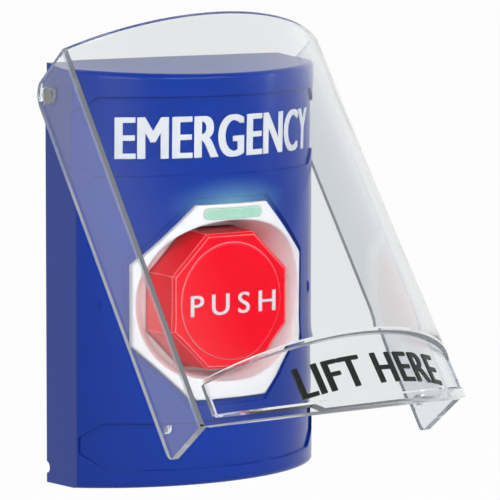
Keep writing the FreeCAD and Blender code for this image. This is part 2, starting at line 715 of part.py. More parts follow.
# Switch carrier: a plate behind the bezel with the stem guide and two ears for the posts.
carrier = new_body("carrier_body")
pad(carrier, octagon(sketch_on(carrier, "carrier_view", "front", carrier_rear), bezel_flats - 0.6, button_z),
    size("CarrierThickness"), "carrier_plate")
pad(carrier, slot(sketch_on(carrier, "ears_view", "front", carrier_rear), 0, button_z, 2 * (post_x + post), post),
    size("CarrierThickness"), "carrier_ears")
pad(carrier, circle(sketch_on(carrier, "guide_view", "front", carrier_rear), 0, button_z,
                    stem + size("GuideWall")), size("CarrierThickness") + size("GuideLength"), "stem_guide")
holes = sketch_on(carrier, "carrier_holes_view", "front", carrier_rear)
circle(holes, 0, button_z, stem + gap)
for side in (-1, 1):
    circle(holes, side * size("PlungerOffset"), button_z, size("PlungerRadius") + 0.3)
    circle(holes, side * post_x, button_z, screw_hole)
for side, level in rim_corners:
    circle(holes, side * rim_screw, button_z + level * rim_screw, screw_hole)
pocket(carrier, holes, None, "carrier_holes")
switch_carrier = labelled(carrier, "switch_carrier")


def screw_from_behind(name, x, z, seat, length):
    """A pan head screw whose head sits on a rear face at the seat depth."""
    body = new_body(f"{name}_body")
    pad(body, circle(sketch_on(body, f"{name}_head_view", "front", seat - size("HeadHeight")), x, z,
                     size("HeadRadius")), size("HeadHeight"), f"{name}_head")
    pad(body, circle(sketch_on(body, f"{name}_shank_view", "front", seat - 0.5), x, z, screw),
        length + 0.5, f"{name}_shank")
    return labelled(body, name)


screws = [screw_from_behind(f"bezel_screw_{number}", side * rim_screw, button_z + level * rim_screw,
                            carrier_rear, 8.5)
          for number, (side, level) in enumerate(rim_corners, start=1)]
screws += [screw_from_behind(f"carrier_screw_{name}", side * post_x, button_z, carrier_rear, 6.5)
           for side, name in ((-1, "left"), (1, "right"))]

# Contact blocks behind the carrier, each with a plunger and two terminal screws.
contact_rear = size("ContactRear")
plunger_front = flange_rear
plungers = []
for side, name in ((-1, "left"), (1, "right")):
    centre = side * (size("PlungerOffset") + 2.8)
    block = new_body(f"contact_{name}_body")
    pad(block, rectangle(
        sketch_on(block, f"contact_{name}_view", "front", contact_rear),
        centre - size("ContactWidth") / 2, button_z - size("ContactHeight") / 2,
        centre + size("ContactWidth") / 2, button_z + size("ContactHeight") / 2),
        carrier_rear - contact_rear, f"contact_{name}_case")
    bores = sketch_on(block, f"contact_{name}_bore_view", "front", contact_rear + 1.2)
    circle(bores, side * size("PlungerOffset"), button_z, size("PlungerRadius") + gap)
    pocket(block, bores, carrier_rear - contact_rear, f"contact_{name}_bore", forward=True)
    wells = sketch_on(block, f"contact_{name}_well_view", "front", contact_rear)
    taps = sketch_on(block, f"contact_{name}_tap_view", "front", contact_rear)
    for level in (-1, 1):
        circle(wells, centre, button_z + level * size("TerminalPitch") / 2, size("HeadRadius") + 0.5)
        circle(taps, centre, button_z + level * size("TerminalPitch") / 2, screw_hole)
    pocket(block, wells, size("HeadHeight") + 0.6, f"contact_{name}_wells", forward=True)
    pocket(block, taps, size("HeadHeight") + 5, f"contact_{name}_taps", forward=True)
    labelled(block, f"contact_block_{name}")
    plunger_rear = contact_rear + 1.2 + size("ButtonTravel") + 0.4
    plungers.append(labelled(
        rod(f"plunger_{name}", size("PlungerRadius"), plunger_front - plunger_rear,
            side * size("PlungerOffset"), plunger_rear, button_z), f"contact_plunger_{name}"))
    for level, end in ((1, "upper"), (-1, "lower")):
        screw_from_behind(f"terminal_screw_{name}_{end}", centre,
                          button_z + level * size("TerminalPitch") / 2,
                          contact_rear + size("HeadHeight") + 0.6, 4.0)

# Back plate: it carries the housing on two lock screws and goes on the wall box by two holes.
back = new_body("back_body")
back_thickness = size("BackThickness")
back_x = half_width - wall - size("BackGap")
back_top = half_height - wall - size("TopSlope") - size("BackGap")
back_low = -half_height + wall + size("BottomSlope") + size("BackGap")
pad(back, rectangle(sketch_on(back, "back_view", "front"), -back_x, back_low, back_x, back_top),
    back_thickness, "back_sheet")
window_low = button_z - size("BackWindowHeight") / 2
windows = sketch_on(back, "back_holes_view", "front")
rectangle(windows, -size("BackWindowWidth") / 2, window_low, size("BackWindowWidth") / 2,
          window_low + size("BackWindowHeight"))
for level in (-1, 1):
    circle(windows, 0, level * size("BoxPitch") / 2, size("BoxHoleRadius"))
pocket(back, windows, None, "back_holes")
lug_height = size("LugHeight")
lug_half = size("LugWidth") / 2
for side, name in ((-1, "left"), (1, "right")):
    lug_x = side * lock_x
    pad(back, rectangle(sketch_on(back, f"lug_{name}_view", "front"), lug_x - lug_half, back_low, lug_x + lug_half,
                        back_low + lug_height), size("LugDepth"), f"lug_{name}")
taps = sketch_on(back, "lug_taps_view", "plan", back_low - 1)
for side in (-1, 1):
    circle(taps, side * lock_x, -lock_depth, screw_hole)
pocket(back, taps, lug_height + 2, "lug_taps", forward=True)
back_plate = labelled(back, "back_plate")

head_seat = bottom_edge + size("BottomSlope") / side_depth * lock_depth - 0.3
for side, name in ((-1, "left"), (1, "right")):
    lock = new_body(f"lock_{name}_body")
    place_x = side * lock_x
    pad(lock, circle(sketch_on(lock, f"lock_{name}_head_view", "plan", head_seat - size("HeadHeight")),
                     place_x, -lock_depth, size("HeadRadius")), size("HeadHeight"),
        f"lock_{name}_head")
    pad(lock, circle(sketch_on(lock, f"lock_{name}_shank_view", "plan", head_seat - 0.5),
                     place_x, -lock_depth, screw), back_low - head_seat + 5.5,
        f"lock_{name}_shank")
    labelled(lock, f"lock_screw_{name}")

# Cover. The local frame is the hinge axis with the cover closed: forward is -y and down is -z.
cover_wall = size("CoverWall")
cover_half = half_width + size("CoverGap") + cover_wall
side_end = hinge_z + half_height + size("CoverOverhang")
ledge_level = side_end - size("LedgeRise")
top_reach = side_depth - size("HingeDepth") + size("TopCornerSpace")
low_reach = side_depth - size("HingeDepth") + size("LowCornerSpace")
low_rise = bulge + size("LowFrontSpace")
rear_edge = size("HingeDepth") - size("CoverRearGap")
low_level = side_end + size("ChinFall") + 2.7


def arch(name, level, corner_reach, radius, centre, inset):
    """One level section of the cover, from behind its rear edge to an arc about a centre."""
    side = cover_half - inset
    section = doc.addObject("Sketcher::SketchObject", name)
    place(section, 0, 0, -as_size(level))
    rear = rear_edge + 2 + 2 * inset
    return outline(section, (
        (-side, rear), (side, rear), (side, -corner_reach, radius, "cw"), (-side, -corner_reach)))


def sheet_arch(name, level, reach, rise, inset):
    """A section of the whole cover: the outer arc, or the arc a wall inside it."""
    outer = (cover_half * cover_half + rise * rise) / (2 * rise)
    centre = reach + rise - outer
    side = cover_half - inset
    radius = outer - inset
    return arch(name, level, centre + root(radius * radius - side * side), radius, centre, inset)


def recess_arch(name, level, reach, rise, inset):
    """The finger recess's floor, flatter than the sheet, or the arc a wall inside that floor."""
    outer = (cover_half * cover_half + rise * rise) / (2 * rise)
    end = cover_half - size("LedgeMargin")
    end_reach = reach + rise - outer + root(outer * outer - end * end) - size("LedgeEndDepth")
    floor_rise = reach + rise - size("LedgeDepth") - end_reach
    floor_radius = (end * end + floor_rise * floor_rise) / (2 * floor_rise)
    centre = end_reach + floor_rise - floor_radius
    side = cover_half - cover_wall
    radius = floor_radius - inset
    return arch(name, level, centre + root(radius * radius - side * side), radius, centre, cover_wall)


def cover_layer(name, draw, inset):
    """The solid inside one surface of the cover, drawn between a high and a low section."""
    loft = doc.addObject("Part::Loft", name)
    span = size("CoverTop") + low_level
    reach_step = (low_reach - top_reach) / span * 3
    rise_step = (low_rise - size("TopRise")) / span * 3
    high = draw(f"{name}_high", -size("CoverTop") - 3, top_reach - reach_step,
                size("TopRise") - rise_step, inset)
    low = draw(f"{name}_low", low_level, low_reach, low_rise, inset)
    loft.Sections = [high, low]
    loft.Solid = True
    loft.Ruled = True
    return loft


outer_layer = cover_layer("cover_outside", sheet_arch, as_size(0))
inner_layer = cover_layer("cover_inside", sheet_arch, cover_wall)
recess_floor = cover_layer("recess_floor", recess_arch, as_size(0))
recess_inside = cover_layer("recess_inside", recess_arch, cover_wall)
chin_slope = size("ChinFall") / low_rise


def chin_level(forward):
    """How far down the sloping lower edge is at a distance forward of the hinge."""
    return side_end + chin_slope * (forward - low_reach)


def recess_zone(name, grow):
    """The space of the finger recess in side view, from the ledge down to the rim."""
    body = new_body(name)
    view = sketch_on(body, f"{name}_view", "side", -cover_half + size("LedgeMargin") - grow)
    rim = size("RimHeight") - grow
    top = ledge_level - grow
    start = Size(4.0)
    far = low_reach + low_rise + 8
    outline(view, ((-start, -top), (-start, rim - chin_level(start)), (-far, rim - chin_level(far)),
                   (-far, -top)))
    pad(body, view, 2 * (cover_half - size("LedgeMargin") + grow), f"{name}_run")
    return body


recess = boolean("Part::Cut", "finger_recess", recess_zone("recess_zone", 0), recess_floor)
sunk_wall = boolean("Part::Cut", "recess_wall", recess_zone("recess_wall_zone", cover_wall), recess_inside)
cover_solid = boolean("Part::Cut", "cover_solid", outer_layer, recess)
cover_space = boolean("Part::Cut", "cover_space", inner_layer, sunk_wall)
cover_shell = boolean("Part::Cut", "cover_shell", cover_solid, cover_space)

trim = new_body("cover_trim")
ear_round = size("CoverTop")
far_front = low_reach + low_rise + 6
tip = 1.5
trim_view = sketch_on(trim, "cover_trim_view", "side", -cover_half - 2)
top_slope = size("CoverTopFall") / size("TopRise")
outline(trim_view, (
    (rear_edge, 0, ear_round, "ccw"), (rear_edge - ear_round, ear_round), (-top_reach, ear_round),
    (-far_front, ear_round - top_slope * (far_front - top_reach)), (-far_front, -chin_level(far_front)),
    (-low_reach, -side_end),
    (rear_edge - tip, -side_end, tip, "ccw"), (rear_edge, -side_end + tip)))
pad(trim, trim_view, 2 * cover_half + 4, "cover_trim_run")
cover_blank = boolean("Part::Common", "cover_blank", cover_shell, trim)


def cross_hole(name, radius, forward, level):
    """A hole through both side walls of the cover."""
    item = doc.addObject("Part::Cylinder", name)
    bind(item, "Radius", radius)
    bind(item, "Height", 2 * cover_half + 4)
    return place(item, -cover_half - 2, -as_size(forward), level, Vector(0, 1, 0), 90)


cover_holes = fuse(
    "cover_holes", cross_hole("pin_holes", size("HingeRadius") + 0.01, 0, 0),
    cross_hole("seal_holes", size("SealRadius"), -rear_edge + size("SealInset"),
               -side_end + size("SealRise")))
clear_cover = labelled(boolean("Part::Cut", "cover_moulding", cover_blank, cover_holes), "clear_cover")
place(clear_cover, 0, -size("HingeDepth"), hinge_z, Vector(-1, 0, 0), size("LiftAngle").number)
clear_cover.setExpression("Placement.Rotation.Angle", "Sizes.LiftAngle")

# Hinge pins, pressed into the cover's side walls and turning in the housing.
for side, name in ((-1, "left"), (1, "right")):
    pin = doc.addObject("Part::Cylinder", f"pin_{name}")
    bind(pin, "Radius", size("HingeRadius"))
    bind(pin, "Height", cover_half - 0.2 - half_width + size("HingeReach"))
    place(pin, side * (half_width - size("HingeReach")), -size("HingeDepth"), hinge_z,
          Vector(0, 1, 0), 90 * side)
    labelled(pin, f"hinge_pin_{name}")

doc.recompute()

# Every object has to be sound before anything is written.
NODES = (
    "front_housing", "back_plate", "bezel", "status_lens", "lamp_board", "lamp_1", "lamp_2", "lamp_3",
    "button_cap", "plunger_stem", "stem_ring", "pusher_ring", "return_spring", "switch_carrier",
    "bezel_screw_1", "bezel_screw_2", "bezel_screw_3", "bezel_screw_4", "carrier_screw_left",
    "carrier_screw_right", "contact_block_left", "contact_block_right", "contact_plunger_left",
    "contact_plunger_right", "terminal_screw_left_upper", "terminal_screw_left_lower",
    "terminal_screw_right_upper", "terminal_screw_right_lower", "lock_screw_left", "lock_screw_right",
    "clear_cover", "hinge_pin_left", "hinge_pin_right")
for item in doc.Objects:
    if "Invalid" in item.State or "Error" in item.State:
        raise RuntimeError(f"{item.Name} failed: {item.State}")
for node in NODES:
    piece = doc.getObjectsByLabel(node)[0]
    if piece.Shape.isNull() or not piece.Shape.isValid():
        raise RuntimeError(f"{node} has no sound shape")
    if len(piece.Shape.Solids) != 1:
        raise RuntimeError(f"{node} is {len(piece.Shape.Solids)} solids")
for node in NODES:
    doc.getObjectsByLabel(node)[0].Shape.exportStep(f"parts/{node}.step")
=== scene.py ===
"""Dresses the emergency push button: clear lift-up cover, legends, mouldings, lamp and studio."""
import json
import math

import bmesh
import bpy
from bpy.props import FloatProperty, FloatVectorProperty, PointerProperty
from mathutils import Matrix, Vector


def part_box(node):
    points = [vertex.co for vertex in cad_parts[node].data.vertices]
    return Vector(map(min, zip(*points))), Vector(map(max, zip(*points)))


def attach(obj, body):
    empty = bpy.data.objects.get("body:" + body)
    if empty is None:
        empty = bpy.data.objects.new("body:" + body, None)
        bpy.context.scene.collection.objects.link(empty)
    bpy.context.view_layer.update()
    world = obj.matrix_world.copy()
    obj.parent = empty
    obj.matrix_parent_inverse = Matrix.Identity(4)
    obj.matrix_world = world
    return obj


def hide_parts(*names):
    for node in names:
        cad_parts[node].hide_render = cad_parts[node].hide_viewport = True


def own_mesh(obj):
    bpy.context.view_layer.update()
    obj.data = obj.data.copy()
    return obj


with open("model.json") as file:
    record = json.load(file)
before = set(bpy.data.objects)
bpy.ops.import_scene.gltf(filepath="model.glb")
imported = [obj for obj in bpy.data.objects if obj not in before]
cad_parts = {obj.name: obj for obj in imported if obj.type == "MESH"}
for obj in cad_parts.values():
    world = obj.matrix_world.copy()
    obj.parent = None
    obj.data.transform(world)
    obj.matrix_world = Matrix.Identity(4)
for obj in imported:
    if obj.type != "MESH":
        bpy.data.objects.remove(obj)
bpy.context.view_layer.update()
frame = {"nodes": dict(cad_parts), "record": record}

bl_info = {
    "name": "Emergency Push Button",
    "version": (1, 0, 0),
    "blender": (4, 5, 0),
    "location": "3D View > Sidebar > Push Button",
    "description": "Builds the visible pieces of a wall-mounted emergency push button",
    "category": "Object",
}

HINGE = Vector(frame["record"]["behaviour"]["joints"][1]["pos_m"])
LENS_HIGH = Vector(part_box("status_lens")[1])

MERGE = 1e-6            # distance under which a CAD node's loose corners are one
LEGEND_GAP = 0.00001    # legend over the surface that it lies on
INK_HEIGHT = 0.00012    # body of the printed legends
RELIEF_HEIGHT = 0.0005  # body of the raised legend on the cover
WHITE = (1.0, 1.0, 1.0, 1.0)
FLOOR_WHITE = 0.97      # share of plain white in the floor, the rest keeps the shadow
LAMP_AIM = (0, -0.03, 0)
# Name, place, width, height, and the studio setting that holds the power
LAMPS = (
    ("key_softbox", (0.38, -1.05, 0.66), 0.5, 0.5, "key"),
    ("fill_softbox", (-0.75, -0.85, 0.30), 0.5, 0.6, "fill"),
    ("front_strip", (-0.10, -1.07, 0.57), 0.30, 0.05, "strips"),
    ("right_strip", (1.05, -0.55, 0.26), 0.05, 0.5, "strips"),
)


def length(name, description, default):
    """A size in metres for a property group."""
    return FloatProperty(name=name, description=description, default=default, unit="LENGTH", precision=5)


def colour(name, description, default):
    """A linear colour for a property group."""
    return FloatVectorProperty(name=name, description=description, default=default, size=3,
                               min=0.0, max=1.0, subtype="COLOR")


class StationSizes(bpy.types.PropertyGroup):
    """Sizes of the station that the drawn pieces follow."""
    front_radius: length("Front radius", "Radius of the curved front", 0.053025)
    front_depth: length("Front depth", "Wall to the middle of the curved front", 0.0373)
    recess: length("Panel recess", "Depth of the sunk panels", 0.0007)
    legend_height: length("Legend height", "Height of the capitals in the upper panel", 0.0122)
    legend_width: length("Legend width", "Length of the upper legend along the curve", 0.0728)
    legend_offset: length("Legend offset", "Middle of the upper legend, to the right", 0.0014)
    legend_level: length("Legend level", "Middle of the upper legend over the origin", 0.0412)
    button_level: length("Button level", "Height of the button axis", -0.0065)
    button_face: length("Button face", "Wall to the raised field of the button", 0.0370)
    push_height: length("Button legend height", "Height of the capitals on the button", 0.0062)
    push_width: length("Button legend width", "Length of the legend on the button", 0.0292)
    push_offset: length("Button legend offset", "Middle of the button legend, to the right", 0.0004)
    screw_edge: length("Screw edge", "Rounding of the screw heads", 0.0002)
    recess_arm: length("Recess arm", "Length of a screw's cross recess", 0.0034)
    recess_bar: length("Recess bar", "Width of a screw's cross recess", 0.0007)
    recess_depth: length("Recess depth", "Depth of a screw's cross recess", 0.0007)
    push_drop: length("Button legend drop", "Middle of the button legend, under the button axis", 0.0008)


class CoverSizes(bpy.types.PropertyGroup):
    """Sizes of the clear cover about its hinge axis, with the cover closed."""
    width: length("Width", "Over the side walls", 0.0878)
    wall: length("Wall", "Moulding thickness", 0.0024)
    rear: length("Rear", "Hinge axis back to the rear edge", 0.0059)
    top: length("Top", "Hinge axis up to the top edge", 0.00565)
    top_fall: length("Top fall", "Fall of the top edge over the sheet's rise", 0.0019)
    side: length("Side", "Hinge axis down to the end of a side wall", 0.1167)
    top_reach: length("Top reach", "Hinge axis forward to the sheet's corner, at the top", 0.0156)
    top_rise: length("Top rise", "Rise of the curved sheet at the top", 0.0192)
    low_reach: length("Low reach", "The same reach at the lowest section", 0.0141)
    low_rise: length("Low rise", "The same rise at the lowest section", 0.0283)
    lowest: length("Lowest", "Hinge axis down to the lowest section", 0.1320)
    chin: length("Chin", "Fall of the lower edge over the sheet's rise", 0.0126)
    ledge: length("Ledge", "Hinge axis down to the finger ledge", 0.1064)
    rim: length("Rim", "Rim under the finger recess", 0.0030)
    ledge_wall: length("Ledge wall", "Thickness over the finger ledge", 0.0018)
    rim_share: FloatProperty(name="Rim share", description="Hollow side of the rim against its height",
                             default=0.467)
    ledge_margin: length("Ledge margin", "Sheet's corner to the end of the recess", 0.0026)
    ledge_depth: length("Ledge depth", "Depth of the recess in the middle", 0.0024)
    ledge_end: length("Ledge end depth", "Depth of the recess at its two ends", 0.0012)
    edge: length("Edge", "Rounding of the moulding's edges", 0.00035)
    lift_height: length("Lift legend height", "Height of the capitals on the cover", 0.0094)
    lift_width: length("Lift legend width", "Length of the legend on the cover", 0.0480)
    lift_drop: length("Lift legend drop", "Hinge axis down to the middle of the legend", 0.1170)
    lift: FloatProperty(name="Lift", description="Cover angle in the stored pose", subtype="ANGLE",
                        default=math.radians(37.6))


class StationColours(bpy.types.PropertyGroup):
    """Colours of the mouldings and legends."""
    housing: colour("Housing", "Blue front moulding", (0.003, 0.033, 0.300))
    button: colour("Button", "Red push button", (0.86, 0.001, 0.015))
    bezel: colour("Bezel", "White octagonal bezel", (0.86, 0.84, 0.86))
    cover: colour("Cover", "Clear plastic tint", (0.86, 0.88, 0.89))
    # Painted shade: a greyer tint for the cover's edges and corner strips, standing in for the darker look
    # of the wall's thickness through clear plastic.
    cover_edge: colour("Cover edge", "Cut edges of the clear plastic", (0.55, 0.59, 0.66))
    lens: colour("Lens", "Lamp window", (0.42, 0.70, 0.56))
    glow: colour("Glow", "Light that the lamp throws on the front", (0.19, 0.42, 0.27))
    legend: colour("Legend", "Printed legends on the station", (0.70, 0.72, 0.74))
    lift: colour("Lift legend", "Raised letters on the cover", (0.016, 0.019, 0.018))
    peg: colour("Peg", "Hinge pegs", (0.25, 0.25, 0.24))


class StudioSettings(bpy.types.PropertyGroup):
    """Camera and light of the picture."""
    azimuth: FloatProperty(name="Azimuth", description="Camera direction round the station",
                           subtype="ANGLE", default=math.radians(-32.37))
    elevation: FloatProperty(name="Elevation", description="Camera direction over the level",
                             subtype="ANGLE", default=math.radians(7.56))
    roll: FloatProperty(name="Roll", description="Camera roll", subtype="ANGLE",
                        default=math.radians(0.124))
    distance: length("Distance", "Camera to the point it turns about", 0.940)
    lens: FloatProperty(name="Lens", description="Focal length in millimetres", default=230.7)
    shift_x: FloatProperty(name="Shift X", description="Sideways shift of the lens", default=0.0972)
    shift_y: FloatProperty(name="Shift Y", description="Upward shift of the lens", default=0.0456)
    floor_level: length("Floor level", "Height of the studio floor", -0.1050)
    key: FloatProperty(name="Key", description="Power of the key light", default=3.6)
    fill: FloatProperty(name="Fill", description="Power of the fill light", default=4.6)
    strips: FloatProperty(name="Strips", description="Power of each narrow light", default=1.6)


# Meshes

def add_object(name, data):
    """Link a mesh, curve, light or camera to the scene as an object at the origin."""
    thing = bpy.data.objects.new(name, data)
    bpy.context.scene.collection.objects.link(thing)
    return thing


def new_mesh(name, bm):
    """A mesh made of a bmesh, which is freed."""
    mesh = bpy.data.meshes.new(name)
    bm.to_mesh(mesh)
    bm.free()
    return mesh


def start_piece(name, bm, body, material, smooth=True):
    """Turn a finished bmesh into an object at the origin that rides on a body."""
    mesh = new_mesh(name, bm)
    if smooth:
        mesh.shade_smooth()
    mesh.materials.append(material)
    piece = add_object(name, mesh)
    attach(piece, body)
    return piece


def keep_flats_flat(piece):
    """Weight the normals by face area, so that flats stay flat beside small rounded edges."""
    weighted = piece.modifiers.new("flat_normals", "WEIGHTED_NORMAL")
    weighted.weight = 100
    weighted.keep_sharp = True


def sharp_edges(bm, degrees):
    """The edges where two faces meet at more than an angle."""
    limit = math.radians(degrees)
    return [edge for edge in bm.edges if len(edge.link_faces) == 2 and edge.calc_face_angle(0.0) > limit]


def round_edges(bm, edges, width, segments=2):
    """Round edges by a small bevel."""
    bmesh.ops.bevel(bm, geom=edges, offset=width, offset_type="OFFSET", segments=segments,
                    profile=0.5, affect="EDGES", clamp_overlap=True, material=-1)


def combine(piece, tools, operation="DIFFERENCE"):
    """Apply a boolean of tool objects to a piece and drop the tools."""
    for tool in tools:
        change = piece.modifiers.new("combine", "BOOLEAN")
        change.operation = operation
        change.solver = "EXACT"
        change.object = tool
    graph = bpy.context.evaluated_depsgraph_get()
    mesh = bpy.data.meshes.new_from_object(piece.evaluated_get(graph))
    piece.modifiers.clear()
    old = piece.data
    piece.data = mesh
    bpy.data.meshes.remove(old)
    for tool in tools:
        shape = tool.data
        bpy.data.objects.remove(tool)
        bpy.data.meshes.remove(shape)


def rod_tool(radius, span, centre, segments=40):
    """A plain rod along X, as a cutting tool."""
    bm = bmesh.new()
    bmesh.ops.create_cone(bm, cap_ends=True, segments=segments, radius1=radius, radius2=radius,
                          depth=span)
    quarter = Matrix.Rotation(math.radians(90), 3, "Y")
    bmesh.ops.rotate(bm, verts=bm.verts, cent=(0, 0, 0), matrix=quarter)
    bmesh.ops.translate(bm, verts=bm.verts, vec=centre)
    return add_object("rod_tool", new_mesh("rod_tool", bm))


def bar_tool(spans, centre):
    """A square bar, as a cutting tool."""
    bm = bmesh.new()
    bmesh.ops.create_cube(bm, size=1.0)
    bmesh.ops.scale(bm, verts=bm.verts, vec=spans)
    bmesh.ops.translate(bm, verts=bm.verts, vec=centre)
    return add_object("bar_tool", new_mesh("bar_tool", bm))


def recessed_screw(node, material, sizes):
    """A screw with a rounded head and a cross recess, in the place of its plain solid."""
    bm = bmesh.new()
    bm.from_mesh(frame["nodes"][node].data)
    bmesh.ops.remove_doubles(bm, verts=bm.verts, dist=MERGE)
    round_edges(bm, sharp_edges(bm, 60), sizes.screw_edge, 2)
    screw = start_piece(node + "_drive", bm, "station", material, smooth=False)
    low, high = (Vector(corner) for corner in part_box(node))
    head = (low + high) / 2
    arm, bar, depth = sizes.recess_arm, sizes.recess_bar, sizes.recess_depth
    if node.startswith("lock_screw"):
        head.z = low.z
        spans = ((arm, bar, 2 * depth), (bar, arm, 1.9 * depth))
    else:
        head.y = high.y
        spans = ((arm, 2 * depth, bar), (bar, 1.9 * depth, arm))
    combine(screw, [bar_tool(span, head) for span in spans])
    screw.data.shade_smooth()
    screw.data.set_sharp_from_angle(angle=math.radians(30))
    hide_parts(node)


def flat_words(name, words, width, height, bold, spacing=1.0):
    """Capitals as a flat bmesh in the XY plane, made bolder sideways and fitted about the origin."""
    font = bpy.data.curves.new(name, "FONT")
    font.body = words
    font.space_character = spacing
    font.resolution_u = 8
    font.extrude = 0.1
    writer = add_object(name, font)
    graph = bpy.context.evaluated_depsgraph_get()
    mesh = bpy.data.meshes.new_from_object(writer.evaluated_get(graph))
    bpy.data.objects.remove(writer)
    bpy.data.curves.remove(font)
    bm = bmesh.new()
    bm.from_mesh(mesh)
    bmesh.ops.remove_doubles(bm, verts=bm.verts, dist=1e-5)
    bm.to_mesh(mesh)
    bm.free()
    block = add_object(name, mesh)
    copies = []
    hair_up, hair_out = 0.0013, 0.001   # keep the copies' faces off the block's own
    for side in (-1, 1):
        twin = add_object(name, mesh.copy())
        twin.data.transform(Matrix.Translation((side * bold, side * hair_up, side * hair_out)))
        copies.append(twin)
    combine(block, copies, "UNION")
    shape = block.data
    bm = bmesh.new()
    bm.from_mesh(shape)
    bpy.data.objects.remove(block)
    bpy.data.meshes.remove(shape)
    unwanted = [face for face in bm.faces if face.normal.z < 0.9]
    bmesh.ops.delete(bm, geom=unwanted, context="FACES")
    for vert in bm.verts:
        vert.co.z = 0.0
    bmesh.ops.remove_doubles(bm, verts=bm.verts, dist=1e-4)
    low = Vector((min(v.co.x for v in bm.verts), min(v.co.y for v in bm.verts), 0))
    high = Vector((max(v.co.x for v in bm.verts), max(v.co.y for v in bm.verts), 0))
    bmesh.ops.translate(bm, verts=bm.verts, vec=-(low + high) / 2)
    fit = (width / (high.x - low.x), height / (high.y - low.y), 1)
    bmesh.ops.scale(bm, verts=bm.verts, vec=fit)
    steps = int(width / 0.0012)   # cuts close enough for the letters to follow a curve
    for step in range(1, steps):
        bmesh.ops.bisect_plane(bm, geom=bm.verts[:] + bm.edges[:] + bm.faces[:], dist=1e-7,
                               plane_co=(width * (step / steps - 0.5), 0, 0), plane_no=(1, 0, 0))
    return bm


def raise_words(bm, surface, lift, body_height):
    """Lay flat words on a surface and give them a body; the surface maps (s, t, out) to a point."""
    flat = {vert: (vert.co.x, vert.co.y) for vert in bm.verts}
    made = bmesh.ops.extrude_face_region(bm, geom=bm.faces[:])
    top = [item for item in made["geom"] if isinstance(item, bmesh.types.BMVert)]
    for vert in top:
        s, t = vert.co.x, vert.co.y
        vert.co = surface(s, t, lift + body_height)
    for vert, (s, t) in flat.items():
        if vert.is_valid:
            vert.co = surface(s, t, lift)
    bmesh.ops.recalc_face_normals(bm, faces=bm.faces)
    return bm


# Materials

def add_node(tree, kind, inputs=None, **settings):
    """A shader node with its settings; a socket among the inputs is linked, the rest are values."""
    node = tree.nodes.new("ShaderNode" + kind)
    for name, value in settings.items():
        setattr(node, name, value)
    for key, value in (inputs or {}).items():
        if isinstance(value, bpy.types.NodeSocket):
            tree.links.new(value, node.inputs[key])
        else:
            node.inputs[key].default_value = value
    return node


def new_group(name, inputs, outputs):
    """A shader node group with named sockets and its input and output nodes."""
    group = bpy.data.node_groups.new(name, "ShaderNodeTree")
    for label, kind, default in inputs:
        socket = group.interface.new_socket(name=label, in_out="INPUT", socket_type=kind)
        if default is not None:
            socket.default_value = default
    for label, kind in outputs:
        group.interface.new_socket(name=label, in_out="OUTPUT", socket_type=kind)
    return group, group.nodes.new("NodeGroupInput"), group.nodes.new("NodeGroupOutput")


def moulded_skin():
    """Orange peel, cloudy colour, smudges in the gloss, softened edges, and a painted highlight that mixes
    white into the colour along the edges.
    """
    if "moulded_skin" in bpy.data.node_groups:
        return bpy.data.node_groups["moulded_skin"]
    group, entry, leave = new_group(
        "moulded_skin",
        (("Colour", "NodeSocketColor", (0.5, 0.5, 0.5, 1.0)), ("Gloss", "NodeSocketFloat", 0.3),
         ("Smudge", "NodeSocketFloat", 0.08), ("Peel", "NodeSocketFloat", 0.02),
         ("Peel Scale", "NodeSocketFloat", 900.0), ("Cloud", "NodeSocketFloat", 0.05),
         ("Cloud Scale", "NodeSocketFloat", 25.0),
         ("Edge", "NodeSocketFloat", 0.0003), ("Edge Light", "NodeSocketFloat", 0.0)),
        (("Colour", "NodeSocketColor"), ("Roughness", "NodeSocketFloat"),
         ("Normal", "NodeSocketVector")))
    given = entry.outputs
    place = add_node(group, "TexCoord").outputs["Object"]
    soft_edge = add_node(group, "Bevel", {"Radius": given["Edge"]}, samples=6).outputs["Normal"]

    peel = add_node(group, "TexNoise", {"Vector": place, "Scale": given["Peel Scale"], "Detail": 3.0})
    bump = add_node(group, "Bump", {"Strength": given["Peel"], "Distance": 0.0002,
                                    "Height": peel.outputs["Fac"], "Normal": soft_edge})
    smudge = add_node(group, "TexNoise", {"Vector": place, "Scale": 60.0, "Detail": 5.0,
                                          "Distortion": 0.8})
    gloss = add_node(group, "Math", {0: smudge.outputs["Fac"], 1: given["Smudge"], 2: given["Gloss"]},
                     operation="MULTIPLY_ADD")
    cloud = add_node(group, "TexNoise", {"Vector": place, "Scale": given["Cloud Scale"]})
    darkest = add_node(group, "Math", {0: 1.0, 1: given["Cloud"]}, operation="SUBTRACT")
    shade = add_node(group, "MapRange", {"Value": cloud.outputs["Fac"], "To Min": 1.0,
                                         "To Max": darkest.outputs[0]})
    tint = add_node(group, "VectorMath", {0: given["Colour"], "Scale": shade.outputs[0]},
                    operation="SCALE")
    # Painted highlight: where the softened normal turns away from the true one, the colour is mixed toward
    # white, a light line along every edge.
    surface = add_node(group, "NewGeometry")
    turned = add_node(group, "VectorMath", {0: soft_edge, 1: surface.outputs["Normal"]},
                      operation="DOT_PRODUCT")
    rounded = add_node(group, "MapRange", {"Value": turned.outputs["Value"], "From Min": 0.995,
                                           "From Max": 0.93})
    highlight_share = add_node(group, "Math", {0: rounded.outputs[0], 1: given["Edge Light"]},
                      operation="MULTIPLY")
    highlighted = add_node(group, "Mix", {"Factor": highlight_share.outputs[0], "A": tint.outputs[0], "B": WHITE},
                     data_type="RGBA")
    group.links.new(highlighted.outputs["Result"], leave.inputs["Colour"])
    group.links.new(gloss.outputs[0], leave.inputs["Roughness"])
    group.links.new(bump.outputs["Normal"], leave.inputs["Normal"])
    return group


def plain_material(name):
    """A new material, its shader and its trees."""
    material = bpy.data.materials.new(name)
    material.use_nodes = True
    return material, material.node_tree.nodes["Principled BSDF"], material.node_tree


